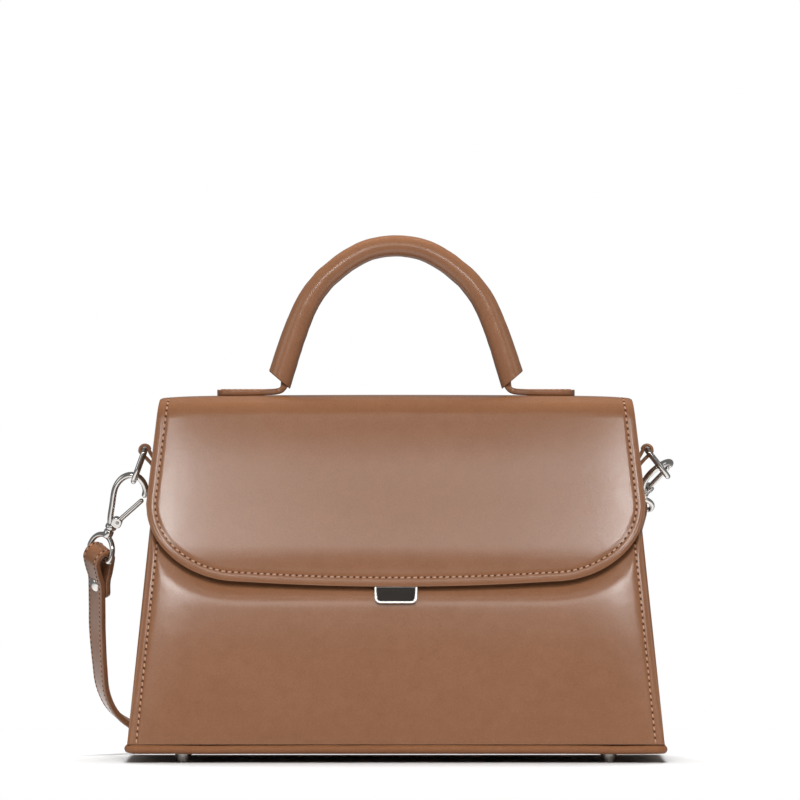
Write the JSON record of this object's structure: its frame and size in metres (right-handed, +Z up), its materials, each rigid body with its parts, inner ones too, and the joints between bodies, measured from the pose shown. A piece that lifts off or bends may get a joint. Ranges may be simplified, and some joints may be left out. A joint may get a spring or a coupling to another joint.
{
  "type": "handbag",
  "caption": "Structured trapezoid leather handbag with a rolled front flap, arched top handle, polished lock plate, side rings, snap hooks and a flat shoulder strap.",
  "frame": {"origin": "centre of the base, on the surface that the feet stand on", "axes": "+X to the right as the bag is faced, along its width; -Y out of the front with the lock; +Z up"},
  "size_m": [0.3086, 0.2446, 0.2729],
  "materials": {
    "brown_leather": "smooth semi-gloss calf leather, mid brown",
    "lining_cloth": "matte woven lining",
    "board": "matte stiffening board",
    "core_rope": "matte twisted cord filler",
    "nickel": "polished nickel",
    "steel": "plain satin steel"
  },
  "bodies": {
    "bag": {"base_panel": "brown_leather", "base_board": "board", "foot_1": "nickel", "foot_2": "nickel", "foot_3": "nickel", "foot_4": "nickel", "front_panel": "brown_leather", "back_panel": "brown_leather", "left_gusset": "brown_leather", "right_gusset": "brown_leather", "lining": "lining_cloth", "inner_pocket": "lining_cloth", "flap_anchor": "brown_leather", "lock_plate": "nickel", "lock_magnet": "steel", "lock_backplate": "steel", "left_ring_tab": "brown_leather", "right_ring_tab": "brown_leather", "left_tab_rivet": "nickel", "right_tab_rivet": "nickel", "strap": "brown_leather"},
    "top_flap": {"flap_top": "brown_leather", "top_board": "board", "left_handle_tab": "brown_leather", "right_handle_tab": "brown_leather", "left_tab_plate": "steel", "right_tab_plate": "steel"},
    "front_flap": {"flap_front": "brown_leather", "flap_lining": "lining_cloth", "flap_striker": "steel"},
    "handle": {"handle_grip": "brown_leather", "handle_core": "core_rope"},
    "left_ring": {"left_d_ring": "nickel", "left_swivel_eye": "nickel", "left_strap_end": "brown_leather", "left_strap_rivet": "nickel"},
    "right_ring": {"right_d_ring": "nickel", "right_swivel_eye": "nickel", "right_strap_end": "brown_leather", "right_strap_rivet": "nickel"},
    "left_hook": {"left_hook_frame": "nickel", "left_gate_pin": "steel"},
    "right_hook": {"right_hook_frame": "nickel", "right_gate_pin": "steel"},
    "left_gate": {"left_hook_gate": "nickel"},
    "right_gate": {"right_hook_gate": "nickel"}
  },
  "joints": [
    {"name": "flap_top_lift", "type": "hinge", "parent": "bag", "child": "top_flap", "pos_m": [0, 0.01373, 0.189], "axis": [-1, 0, 0], "range_deg": [0, 100]},
    {"name": "flap_front_fold", "type": "hinge", "parent": "top_flap", "child": "front_flap", "pos_m": [0, -0.01373, 0.189], "axis": [-1, 0, 0], "range_deg": [0, 100]},
    {"name": "handle_tilt", "type": "hinge", "parent": "top_flap", "child": "handle", "pos_m": [0, 0, 0.1968], "axis": [1, 0, 0], "range_deg": [-28, 28], "stiffness_Nm_per_rad": 0.15},
    {"name": "left_ring_swing", "type": "hinge", "parent": "bag", "child": "left_ring", "pos_m": [-0.1308, 0, 0.161], "axis": [0, 1, 0], "range_deg": [0, 25], "deforming": ["strap"]},
    {"name": "right_ring_swing", "type": "hinge", "parent": "bag", "child": "right_ring", "pos_m": [0.1308, 0, 0.161], "axis": [0, -1, 0], "range_deg": [0, 20], "deforming": ["strap"]},
    {"name": "left_hook_swivel", "type": "hinge", "parent": "left_ring", "child": "left_hook", "pos_m": [-0.14879, 0.00865, 0.12072], "axis": [0.3842, -0.2694, 0.8831], "range_deg": [0, 15]},
    {"name": "right_hook_swivel", "type": "hinge", "parent": "right_ring", "child": "right_hook", "pos_m": [0.12952, 0.03069, 0.13805], "axis": [0.262, -0.8403, 0.4745], "range_deg": [-15, 15]},
    {"name": "left_gate_press", "type": "hinge", "parent": "left_hook", "child": "left_gate", "pos_m": [-0.14524, 0.00759, 0.12338], "axis": [-0.0996, -0.963, -0.2505], "range_deg": [0, 20], "stiffness_Nm_per_rad": 0.02},
    {"name": "right_gate_press", "type": "hinge", "parent": "right_hook", "child": "right_gate", "pos_m": [0.13228, 0.02838, 0.14086], "axis": [0.5714, -0.2612, -0.778], "range_deg": [0, 20], "stiffness_Nm_per_rad": 0.02}
  ]
}
